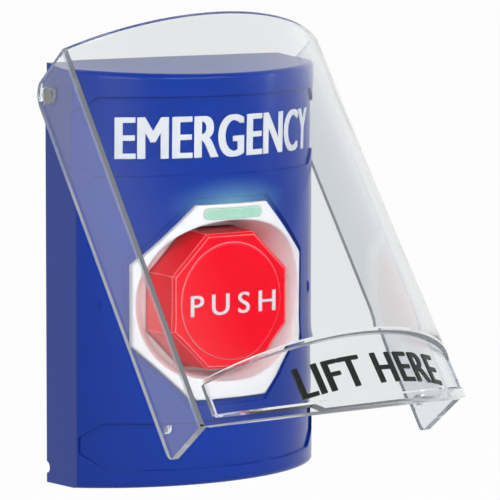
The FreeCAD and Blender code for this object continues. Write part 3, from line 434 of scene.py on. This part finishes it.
def skinned(name, base, specular, metallic, values):
    """A material whose colour, gloss and normal come from the shared skin."""
    if name in bpy.data.materials:
        return bpy.data.materials[name]
    material, shader, tree = plain_material(name)
    skin = add_node(tree, "Group", {"Colour": (*base, 1.0), **values}, node_tree=moulded_skin())
    tree.links.new(skin.outputs["Colour"], shader.inputs["Base Color"])
    tree.links.new(skin.outputs["Roughness"], shader.inputs["Roughness"])
    tree.links.new(skin.outputs["Normal"], shader.inputs["Normal"])
    shader.inputs["Specular IOR Level"].default_value = specular
    shader.inputs["Metallic"].default_value = metallic
    return material


def moulding(name, base, gloss=0.3, smudge=0.08, peel=0.02, peel_scale=900.0, cloud=0.05,
             cloud_scale=25.0, specular=0.5, edge=0.0003, painted_highlight=0.0):
    """Moulded plastic."""
    return skinned(name, base, specular, 0.0, {
        "Gloss": gloss, "Smudge": smudge, "Peel": peel, "Peel Scale": peel_scale, "Cloud": cloud,
        "Cloud Scale": cloud_scale, "Edge": edge, "Edge Light": painted_highlight})


def metal(name, base, roughness):
    """Plated or plain metal with a fine grain."""
    return skinned(name, base, 0.5, 1.0, {
        "Gloss": roughness, "Smudge": 0.12, "Peel": 0.06, "Peel Scale": 2400.0, "Cloud": 0.15})


def clear_plastic(name, tint, roughness=0.015, clearness=1.0):
    """Clear polished plastic with faint flow waves and fine wiping marks."""
    if name in bpy.data.materials:
        return bpy.data.materials[name]
    material, shader, tree = plain_material(name)
    shader.inputs["Base Color"].default_value = (*tint, 1.0)
    shader.inputs["Transmission Weight"].default_value = clearness
    shader.inputs["IOR"].default_value = 1.49
    place = add_node(tree, "TexCoord").outputs["Object"]
    waves = add_node(tree, "TexNoise", {"Vector": place, "Scale": 45.0, "Detail": 1.0})
    bump = add_node(tree, "Bump", {"Strength": 0.04, "Distance": 0.001,
                                   "Height": waves.outputs["Fac"]})
    marks = add_node(tree, "TexNoise", {"Vector": place, "Scale": 120.0, "Detail": 6.0})
    gloss = add_node(tree, "MapRange", {"Value": marks.outputs["Fac"], "From Min": 0.45,
                                        "From Max": 0.8, "To Min": roughness,
                                        "To Max": roughness + 0.03})
    tree.links.new(bump.outputs["Normal"], shader.inputs["Normal"])
    tree.links.new(gloss.outputs[0], shader.inputs["Roughness"])
    return material


def add_lamp_glow(material, glow, centre):
    """Let the housing take the green light that the lamp window throws on it."""
    reach, falloff = (0.0225, 0.030, 0.0088), 1.6
    tree = material.node_tree
    shader = tree.nodes["Principled BSDF"]
    place = add_node(tree, "TexCoord")
    about = add_node(tree, "Mapping", {"Vector": place.outputs["Object"], "Location": centre,
                                       "Scale": reach}, vector_type="TEXTURE")
    ball = add_node(tree, "TexGradient", {"Vector": about.outputs["Vector"]},
                    gradient_type="SPHERICAL")
    fade = add_node(tree, "Math", {0: ball.outputs["Fac"], 1: falloff}, operation="POWER")
    light = add_node(tree, "VectorMath", {0: glow, "Scale": fade.outputs[0]}, operation="SCALE")
    tree.links.new(light.outputs[0], shader.inputs["Emission Color"])
    shader.inputs["Emission Strength"].default_value = 1.0


def finish_node(node, material):
    """Give a CAD node its material."""
    piece = frame["nodes"][node]
    for slot in piece.material_slots:
        slot.material = material


# Pieces

class STATION_OT_mouldings(bpy.types.Operator):
    """Finish the housing, bezel, button, back plate and inner mouldings"""
    bl_idname = "station.mouldings"
    bl_label = "Finish mouldings"

    def execute(self, context):
        colours = context.scene.station_colours
        blue = moulding("housing_plastic", colours.housing, gloss=0.16, smudge=0.05, peel=0.015,
                        peel_scale=700.0, specular=0.2, edge=0.0005)
        add_lamp_glow(blue, colours.glow, (0.0, -0.0375, LENS_HIGH.z + 0.001))
        finish_node("front_housing", blue)
        finish_node("bezel", moulding("bezel_plastic", colours.bezel, gloss=0.28, peel=0.01, cloud=0.03,
                                      edge=0.0012))
        # The button gets a painted highlight along its edges.
        finish_node("button_cap", moulding("button_plastic", colours.button, gloss=0.10, smudge=0.04,
                                           peel=0.012, peel_scale=500.0, cloud=0.04,
                                           specular=0.12, edge=0.0004, painted_highlight=0.5))
        finish_node("back_plate", moulding("plate_plastic", (0.035, 0.036, 0.04), gloss=0.5, peel=0.12,
                                           peel_scale=2600.0))
        black = moulding("carrier_plastic", (0.016, 0.016, 0.018), gloss=0.45, peel=0.1, peel_scale=2200.0)
        for node in ("switch_carrier", "pusher_ring"):
            finish_node(node, black)
        grey = moulding("contact_plastic", (0.10, 0.105, 0.115), gloss=0.42, peel=0.1, peel_scale=2200.0)
        for node in ("contact_block_left", "contact_block_right"):
            finish_node(node, grey)
        white = moulding("slide_plastic", (0.62, 0.61, 0.57), gloss=0.4, peel=0.03)
        for node in ("plunger_stem", "contact_plunger_left", "contact_plunger_right"):
            finish_node(node, white)
        return {"FINISHED"}


class STATION_OT_metalwork(bpy.types.Operator):
    """Finish the screws, spring and ring"""
    bl_idname = "station.metalwork"
    bl_label = "Finish metalwork"

    def execute(self, context):
        zinc = metal("zinc_plate", (0.58, 0.59, 0.60), roughness=0.28)
        brass = metal("terminal_metal", (0.68, 0.50, 0.20), roughness=0.3)
        spring = metal("spring_wire", (0.50, 0.50, 0.51), roughness=0.25)
        sizes = context.scene.station_sizes
        for node in list(frame["nodes"]):
            if node.startswith(("bezel_screw", "carrier_screw", "lock_screw")):
                recessed_screw(node, zinc, sizes)
            elif node.startswith("terminal_screw"):
                recessed_screw(node, brass, sizes)
        finish_node("stem_ring", spring)
        self.coil(spring)
        return {"FINISHED"}

    def coil(self, material):
        """The return spring, which on the real station shortens as the button goes in; here it rides on the
        button as one piece.
        """
        bm = bmesh.new()
        bm.from_mesh(frame["nodes"]["return_spring"].data)
        bmesh.ops.remove_doubles(bm, verts=bm.verts, dist=MERGE)
        coil = start_piece("return_spring_coil", bm, "button", material)
        coil.data.set_sharp_from_angle(angle=math.radians(40))
        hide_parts("return_spring")
        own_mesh(coil)


class STATION_OT_lamp(bpy.types.Operator):
    """Finish the lamp window, its board and its lamps"""
    bl_idname = "station.lamp"
    bl_label = "Finish lamp"

    def execute(self, context):
        colours = context.scene.station_colours
        # The lens gets a painted highlight along its rim.
        lens = moulding("lens_plastic", colours.lens, gloss=0.12, smudge=0.03, peel=0.01, cloud=0.3,
                        cloud_scale=420.0, edge=0.0007, painted_highlight=0.45)
        shader = lens.node_tree.nodes["Principled BSDF"]
        shader.inputs["Transmission Weight"].default_value = 0.25
        shader.inputs["Emission Color"].default_value = (*colours.lens, 1.0)
        shader.inputs["Emission Strength"].default_value = 0.25
        finish_node("status_lens", lens)
        finish_node("lamp_board", moulding("board_lacquer", (0.01, 0.11, 0.045), gloss=0.3, peel=0.05))
        lamp = moulding("lamp_body", (0.80, 0.76, 0.55), gloss=0.25)
        for node in ("lamp_1", "lamp_2", "lamp_3"):
            finish_node(node, lamp)
        return {"FINISHED"}


class STATION_OT_legends(bpy.types.Operator):
    """Print the legend in the upper panel and on the button"""
    bl_idname = "station.legends"
    bl_label = "Print legends"

    def execute(self, context):
        sizes = context.scene.station_sizes
        ink = moulding("legend_ink", context.scene.station_colours.legend, gloss=0.35, peel=0.03, cloud=0.03)
        floor_radius = sizes.front_radius - sizes.recess
        centre = sizes.front_depth - sizes.front_radius

        def on_panel(s, t, out):
            turn = (s + sizes.legend_offset) / floor_radius
            reach = floor_radius + out
            forward = centre + reach * math.cos(turn)
            return Vector((reach * math.sin(turn), -forward, sizes.legend_level + t))

        words = flat_words("upper_legend", "EMERGENCY", sizes.legend_width, sizes.legend_height,
                           0.045, 1.04)
        start_piece("upper_legend", raise_words(words, on_panel, LEGEND_GAP, INK_HEIGHT), "station",
                    ink, smooth=False)

        def on_button(s, t, out):
            level = sizes.button_level - sizes.push_drop
            return Vector((s + sizes.push_offset, -(sizes.button_face + out), level + t))

        words = flat_words("button_legend", "PUSH", sizes.push_width, sizes.push_height, 0.012, 1.45)
        start_piece("button_legend", raise_words(words, on_button, LEGEND_GAP, INK_HEIGHT), "button",
                    ink, smooth=False)
        return {"FINISHED"}


def cover_section(sizes, drop):
    """Radius, arc centre, corner reach and corner angle of the cover's outer section at a level."""
    share = (drop + sizes.top) / (sizes.lowest + sizes.top)
    reach = sizes.top_reach + (sizes.low_reach - sizes.top_reach) * share
    rise = sizes.top_rise + (sizes.low_rise - sizes.top_rise) * share
    half = sizes.width / 2
    radius = (half * half + rise * rise) / (2 * rise)
    return radius, reach + rise - radius, reach, math.asin(half / radius)


def recess_section(sizes, drop):
    """Radius and arc centre of the finger recess's floor, flatter than the sheet, at a level."""
    radius, centre, reach, _ = cover_section(sizes, drop)
    end = sizes.width / 2 - sizes.ledge_margin
    end_reach = centre + math.sqrt(radius * radius - end * end) - sizes.ledge_end
    middle = centre + radius - sizes.ledge_depth
    rise = middle - end_reach
    floor_radius = (end * end + rise * rise) / (2 * rise)
    return floor_radius, middle - floor_radius


def cover_place(sizes, across, forward, drop):
    """A point given about the closed hinge, in the frame with the cover lifted."""
    closed = Vector((across, -forward, -drop))
    return HINGE + Matrix.Rotation(-sizes.lift, 3, "X") @ closed


class STATION_OT_cover(bpy.types.Operator):
    """Mould the clear cover with its ears, finger recess, rim and raised legend"""
    bl_idname = "station.cover"
    bl_label = "Mould cover"

    def sheet(self, sizes):
        """The outer surface as a grid that wraps one side wall, the arched front and the other side."""
        side_steps, arc_steps, upper_steps, recess_steps = 6, 44, 26, 6
        side_end, end_share, ends = 0.945, 0.902, (0.938, 0.975, 1.0)
        ear_turns, rim_shares, lip_setback = (90, 72, 54, 36, 18), (0.5, 0.78, 1.0), 0.0013
        side_shares = [side_end * step / (side_steps - 1) for step in range(side_steps)]
        arc_shares = [end_share * (2 * step / arc_steps - 1) for step in range(arc_steps + 1)]
        arc_shares = [-share for share in reversed(ends)] + arc_shares + list(ends)
        across = [("side", -1, share) for share in side_shares]
        across += [("arc", 0, share) for share in arc_shares]
        across += [("side", 1, share) for share in reversed(side_shares)]
        down = [("ear", math.sin(math.radians(turn))) for turn in ear_turns]
        down += [("upper", step / upper_steps) for step in range(upper_steps + 1)]
        down += [("recess", step / recess_steps) for step in range(1, recess_steps + 1)]
        down += [("rim", share) for share in rim_shares]
        columns, rows = len(across) - 1, len(down) - 1
        bm = bmesh.new()
        bmesh.ops.create_grid(bm, x_segments=columns, y_segments=rows, size=0.5)
        chin = sizes.chin / sizes.low_rise
        fall = sizes.top_fall / sizes.top_rise

        def forward_at(kind, share, drop):
            radius, centre, reach, corner = cover_section(sizes, drop)
            if kind == "arc":
                return radius * math.sin(share * corner), centre + radius * math.cos(share * corner)
            return None, -sizes.rear + (reach + sizes.rear) * share

        marked = {}
        for vert in bm.verts:
            column = round((vert.co.x + 0.5) * columns)
            row = round((0.5 - vert.co.y) * rows)
            kind, side, share = across[column]
            low = sizes.side
            high = -sizes.top
            if kind == "arc":
                for _ in range(5):
                    low = sizes.side + chin * (forward_at(kind, share, low)[1] - sizes.low_reach)
                    high = -sizes.top + fall * (forward_at(kind, share, high)[1] - sizes.top_reach)
            zone, part = down[row]
            if zone == "ear":
                drop = high * part
            elif zone == "upper":
                drop = sizes.ledge * part
            elif zone == "recess":
                drop = sizes.ledge + (low - sizes.rim - sizes.ledge) * part
            else:
                drop = low - sizes.rim * (1 - part)
            x, forward = forward_at(kind, share, drop)
            if kind == "side":
                x = side * sizes.width / 2
                if zone == "ear" and part > 0:
                    rear = math.sqrt(max(sizes.rear ** 2 - drop ** 2, 0.0))
                    reach = cover_section(sizes, drop)[2]
                    forward = -rear + (reach + rear) * share
                if zone == "rim":
                    tip = lip_setback * (part ** 3)
                    reach = cover_section(sizes, drop)[2]
                    forward = -sizes.rear + tip + (reach + sizes.rear - tip) * share
            marked[vert.index] = (kind, zone, part, share)
            vert.co = (x, -forward, -drop)
        bm.verts.ensure_lookup_table()
        sunk = []
        for face in bm.faces:
            tags = [marked[vert.index] for vert in face.verts]
            inside = all(kind == "arc" and abs(share) <= end_share + 1e-6 for kind, _, _, share in tags)
            between = all(zone == "recess" or (zone == "upper" and part == 1.0) for _, zone, part, _ in tags)
            if inside and between:
                sunk.append(face)
        made = bmesh.ops.extrude_face_region(bm, geom=sunk)
        bmesh.ops.delete(bm, geom=sunk, context="FACES")
        for vert in (item for item in made["geom"] if isinstance(item, bmesh.types.BMVert)):
            radius, centre = recess_section(sizes, -vert.co.z)
            vert.co.y = -(centre + math.sqrt(radius * radius - vert.co.x * vert.co.x))
        bmesh.ops.recalc_face_normals(bm, faces=bm.faces)
        return bm

    def inside(self, sizes, point):
        """The place on the inner surface that belongs to a point of the outer one."""
        x, forward, drop = point.x, -point.y, -point.z
        half, chin = sizes.width / 2, sizes.chin / sizes.low_rise
        radius, centre, _, _ = cover_section(sizes, drop)
        low = sizes.side
        if abs(x) > half - 1e-6:
            x = math.copysign(half - sizes.wall, x)
            forward = min(forward, centre + math.sqrt((radius - sizes.wall) ** 2 - x * x))
        else:
            for _ in range(5):
                low_radius, low_centre, _, _ = cover_section(sizes, low)
                low = sizes.side + chin * (low_centre + math.sqrt(low_radius ** 2 - x * x) - sizes.low_reach)
            distance = math.hypot(x, forward - centre)
            share = (distance - sizes.wall) / distance
            x, forward = x * share, centre + (forward - centre) * share
        if abs(drop - sizes.ledge) < 1e-5:
            drop -= sizes.ledge_wall
        elif low - drop < sizes.rim + 1e-5:
            drop = low - (low - drop) * sizes.rim_share
        return Vector((x, -forward, -drop))

    def wall(self, bm, sizes):
        """Give the sheet its inner surface, one wall further in, and close its edges."""
        outline = [edge for edge in bm.edges if edge.is_boundary]
        made = bmesh.ops.duplicate(bm, geom=bm.verts[:] + bm.edges[:] + bm.faces[:])["geom"]
        bmesh.ops.reverse_faces(bm, faces=[item for item in made if isinstance(item, bmesh.types.BMFace)])
        outline += [item for item in made if isinstance(item, bmesh.types.BMEdge) and item.is_boundary]
        bmesh.ops.bridge_loops(bm, edges=outline)
        for vert in (item for item in made if isinstance(item, bmesh.types.BMVert)):
            vert.co = self.inside(sizes, vert.co)

    def mark_edges(self, bm, sizes):
        """Give the cut edges and the strip along each upright corner the greyer, less clear edge material,
        painted shade for the darker look of the wall's thickness.
        """
        slack, strip_width, edge_height = 0.0002, 0.0013, 0.0010
        ledge_height, end_width, end_depth, corner_share = 0.0004, 0.0025, 0.0016, 0.974
        half = sizes.width / 2
        chin = sizes.chin / sizes.low_rise
        for face in bm.faces:
            middle, normal = face.calc_center_median(), face.normal
            across, forward, drop = abs(middle.x), -middle.y, -middle.z
            radius, centre, reach, corner = cover_section(sizes, drop)
            low = sizes.side + chin * (max(forward, sizes.low_reach) - sizes.low_reach)
            side_strip = (abs(normal.x) > 0.9 and across > half - slack
                          and forward > reach - strip_width)
            beside = math.asin(min(across / radius, 1.0)) > corner_share * corner
            front_strip = normal.y < -0.25 and beside and drop < low - edge_height
            outline = (abs(normal.x) < 0.35 and half - sizes.wall + slack < across < half - slack
                       and forward < reach - sizes.wall)
            top = normal.z > 0.7 and drop < 0
            bottom = normal.z < -0.5 and drop > low - edge_height
            ledge = abs(drop - sizes.ledge) < ledge_height and abs(normal.z) > 0.6
            end = (abs(across - half + sizes.ledge_margin) < end_width and normal.x * middle.x < 0
                   and abs(normal.x) > 0.6 and sizes.ledge < drop < low - sizes.rim + 0.0005
                   and math.hypot(across, forward - centre) > radius - end_depth)
            if side_strip or front_strip or outline or top or bottom or ledge or end:
                face.material_index = 1

    def execute(self, context):
        sizes = context.scene.cover_sizes
        colours = context.scene.station_colours
        clear = clear_plastic("cover_plastic", colours.cover)
        # The edge material is painted shade: greyer and less clear than the sheet.
        edge = clear_plastic("cover_edge_plastic", colours.cover_edge, roughness=0.10, clearness=0.62)
        bm = self.sheet(sizes)
        outward = sum((face.normal.y * face.calc_area() for face in bm.faces), 0.0)
        if outward > 0:
            bmesh.ops.reverse_faces(bm, faces=bm.faces)
        self.wall(bm, sizes)
        bmesh.ops.recalc_face_normals(bm, faces=bm.faces)
        round_edges(bm, sharp_edges(bm, 17), sizes.edge, 2)
        self.mark_edges(bm, sizes)
        lifted = Matrix.Translation(HINGE) @ Matrix.Rotation(-sizes.lift, 4, "X")
        bmesh.ops.transform(bm, matrix=lifted, verts=bm.verts)
        cover = start_piece("clear_cover_moulding", bm, "cover", clear)
        cover.data.materials.append(edge)
        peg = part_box("hinge_pin_left")
        peg_radius, slack = (peg[1][2] - peg[0][2]) / 2, 0.00001
        seal_radius, seal_in, seal_up = 0.0011, 0.0044, 0.0076
        seal = cover_place(sizes, 0, -sizes.rear + seal_in, sizes.side - seal_up)
        combine(cover, [rod_tool(peg_radius + slack, 0.1, HINGE), rod_tool(seal_radius, 0.1, seal, 24)])
        cover.data.shade_smooth()
        keep_flats_flat(cover)
        cover.visible_shadow = False
        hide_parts("clear_cover")

        def on_lip(s, t, out):
            drop = sizes.lift_drop - t
            radius, centre = recess_section(sizes, drop)
            reach = radius + out
            turn = s / reach
            return cover_place(sizes, reach * math.sin(turn), centre + reach * math.cos(turn), drop)

        words = flat_words("lift_legend", "LIFT HERE", sizes.lift_width, sizes.lift_height, 0.028, 1.08)
        dark = moulding("raised_legend", colours.lift, gloss=0.3, peel=0.05)
        start_piece("lift_legend", raise_words(words, on_lip, LEGEND_GAP, RELIEF_HEIGHT), "cover",
                    dark, smooth=False)
        pegs = moulding("peg_plastic", colours.peg, gloss=0.35, peel=0.04)
        for node in ("hinge_pin_left", "hinge_pin_right"):
            finish_node(node, pegs)
        return {"FINISHED"}


class STATION_OT_studio(bpy.types.Operator):
    """Set the floor, lights, world and camera"""
    bl_idname = "station.studio"
    bl_label = "Set studio"

    def floor(self, level):
        """A pale round floor that is plain white to the camera and to gloss, but for a faint shadow."""
        bm = bmesh.new()
        bmesh.ops.create_circle(bm, cap_ends=True, segments=96, radius=6.0)
        bmesh.ops.translate(bm, verts=bm.verts, vec=(0, 0, level))
        mesh = new_mesh("studio_floor", bm)
        material, shader, tree = plain_material("floor_paper")
        shader.inputs["Base Color"].default_value = (0.62, 0.62, 0.62, 1.0)
        shader.inputs["Roughness"].default_value = 0.9
        shader.inputs["Specular IOR Level"].default_value = 0.1
        mirrored = add_node(tree, "LightPath").outputs["Is Glossy Ray"]
        seen = add_node(tree, "Math", {0: self.seen(tree), 1: mirrored}, operation="MAXIMUM")
        share = add_node(tree, "Math", {0: seen.outputs[0], 1: FLOOR_WHITE}, operation="MULTIPLY")
        white = add_node(tree, "Emission", {"Strength": 1.0})
        mix = add_node(tree, "MixShader", {0: share.outputs[0], 1: shader.outputs[0],
                                           2: white.outputs[0]})
        tree.links.new(mix.outputs[0], tree.nodes["Material Output"].inputs["Surface"])
        mesh.materials.append(material)
        add_object("studio_floor", mesh)

    def seen(self, tree):
        """One where the camera sees the surface, directly or straight through clear plastic."""
        path = add_node(tree, "LightPath").outputs
        bounces = add_node(tree, "Math", {0: path["Diffuse Depth"], 1: path["Glossy Depth"]},
                           operation="ADD")
        straight = add_node(tree, "Math", {0: bounces.outputs[0], 1: 0.5}, operation="LESS_THAN")
        through = add_node(tree, "Math", {0: path["Is Transmission Ray"], 1: straight.outputs[0]},
                           operation="MULTIPLY")
        direct = add_node(tree, "Math", {0: path["Is Camera Ray"], 1: through.outputs[0]},
                          operation="MAXIMUM")
        return direct.outputs[0]

    def world(self):
        """Soft light, most from behind the station and some from level with it; white to the camera."""
        world = bpy.data.worlds.new("studio_world")
        world.use_nodes = True
        tree = world.node_tree
        soft = tree.nodes["Background"]
        place = add_node(tree, "TexCoord")
        parts = add_node(tree, "SeparateXYZ", {0: place.outputs["Generated"]})
        ramp = add_node(tree, "MapRange", {"Value": parts.outputs["Y"], "From Min": -0.3,
                                           "From Max": 0.4, "To Min": 0.06, "To Max": 0.95})
        band = add_node(tree, "MapRange", {"Value": parts.outputs["Z"], "From Min": 0.25,
                                           "From Max": 0.65, "To Min": 0.36, "To Max": 0.06})
        brighter = add_node(tree, "Math", {0: ramp.outputs[0], 1: band.outputs[0]},
                            operation="MAXIMUM")
        tree.links.new(brighter.outputs[0], soft.inputs["Color"])
        white = add_node(tree, "Background", {"Color": WHITE})
        mix = add_node(tree, "MixShader", {0: self.seen(tree), 1: soft.outputs[0],
                                           2: white.outputs[0]})
        tree.links.new(mix.outputs[0], tree.nodes["World Output"].inputs["Surface"])
        bpy.context.scene.world = world

    def softbox(self, name, place, width, height, power):
        """A rectangular lamp that faces the station."""
        light = bpy.data.lights.new(name, "AREA")
        light.shape = "RECTANGLE"
        light.size = width
        light.size_y = height
        light.energy = power
        lamp = add_object(name, light)
        back = (Vector(place) - Vector(LAMP_AIM)).normalized()
        turn = back.to_track_quat("Z", "Y").to_matrix().to_4x4()
        lamp.matrix_world = Matrix.Translation(place) @ turn

    def camera(self, studio):
        """The camera at the photograph's angle."""
        data = bpy.data.cameras.new("photo_camera")
        data.lens = studio.lens
        data.sensor_width = 36.0
        data.shift_x = studio.shift_x
        data.shift_y = studio.shift_y
        data.clip_end = 50.0
        camera = add_object("photo_camera", data)
        pivot = Vector((0, -0.020, 0))
        level = math.cos(studio.elevation)
        back = Vector((math.sin(studio.azimuth) * level, -math.cos(studio.azimuth) * level,
                       math.sin(studio.elevation)))
        right = Vector((math.cos(studio.azimuth), math.sin(studio.azimuth), 0))
        up = back.cross(right)
        turn = Matrix((right, up, back)).transposed() @ Matrix.Rotation(studio.roll, 3, "Z")
        camera.matrix_world = Matrix.Translation(pivot + back * studio.distance) @ turn.to_4x4()
        bpy.context.scene.camera = camera

    def execute(self, context):
        studio = context.scene.studio_settings
        self.floor(studio.floor_level)
        self.world()
        for name, place, width, height, power in LAMPS:
            self.softbox(name, place, width, height, getattr(studio, power))
        self.camera(studio)
        context.scene.view_settings.view_transform = "Standard"
        return {"FINISHED"}


class STATION_PT_pieces(bpy.types.Panel):
    """Lists the operators in the sidebar"""
    bl_idname = "STATION_PT_pieces"
    bl_label = "Push Button"
    bl_space_type = "VIEW_3D"
    bl_region_type = "UI"
    bl_category = "Push Button"

    def draw(self, context):
        for name in OPERATORS:
            self.layout.operator(name)


OPERATORS = ("station.mouldings", "station.metalwork", "station.lamp", "station.legends",
             "station.cover", "station.studio")
CLASSES = (StationSizes, CoverSizes, StationColours, StudioSettings, STATION_OT_mouldings,
           STATION_OT_metalwork, STATION_OT_lamp, STATION_OT_legends, STATION_OT_cover,
           STATION_OT_studio, STATION_PT_pieces)


def register():
    """Register the classes and their settings."""
    for item in CLASSES:
        bpy.utils.register_class(item)
    bpy.types.Scene.station_sizes = PointerProperty(type=StationSizes)
    bpy.types.Scene.cover_sizes = PointerProperty(type=CoverSizes)
    bpy.types.Scene.station_colours = PointerProperty(type=StationColours)
    bpy.types.Scene.studio_settings = PointerProperty(type=StudioSettings)


def unregister():
    """Remove what register added."""
    for name in ("studio_settings", "station_colours", "cover_sizes", "station_sizes"):
        delattr(bpy.types.Scene, name)
    for item in reversed(CLASSES):
        bpy.utils.unregister_class(item)


def main():
    """Build every piece and the stage."""
    register()
    for name in OPERATORS:
        group, operator = name.split(".")
        getattr(getattr(bpy.ops, group), operator)()


if __name__ == "__main__":
    main()
